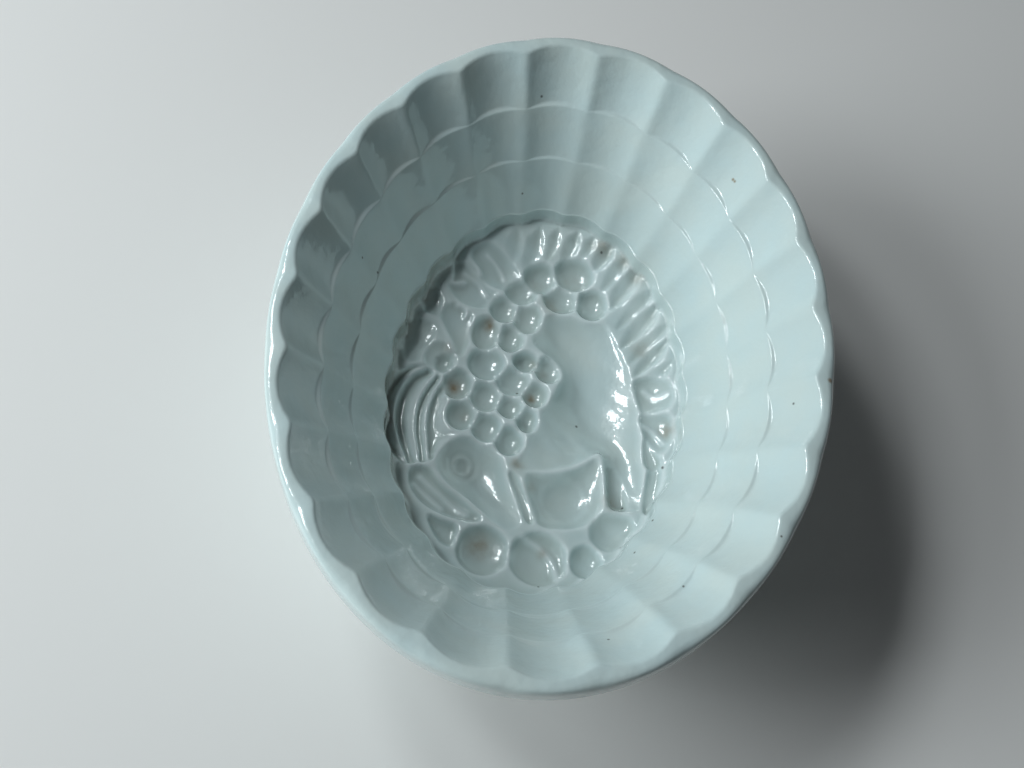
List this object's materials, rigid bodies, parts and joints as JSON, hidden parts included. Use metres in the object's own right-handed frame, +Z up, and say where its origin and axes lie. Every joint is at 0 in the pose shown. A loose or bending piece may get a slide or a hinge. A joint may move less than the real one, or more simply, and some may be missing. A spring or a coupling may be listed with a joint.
{
  "type": "pudding mould",
  "caption": "Oval glazed ceramic pudding mould with a fluted, stepped cavity, a fruit still life sunk into its floor, a plain flared outside and a flat foot ring.",
  "frame": {"origin": "middle of the foot ring's underside, which is the bottom centre of the box", "axes": "+Z up out of the mouth, +Y along the oval's length, +X across it"},
  "size_m": [0.145, 0.19, 0.06],
  "materials": {
    "glaze": "glossy white glaze with a faint cool tint, pooled darker in the hollows"
  },
  "bodies": {
    "root": {"mould": "glaze"}
  },
  "joints": []
}
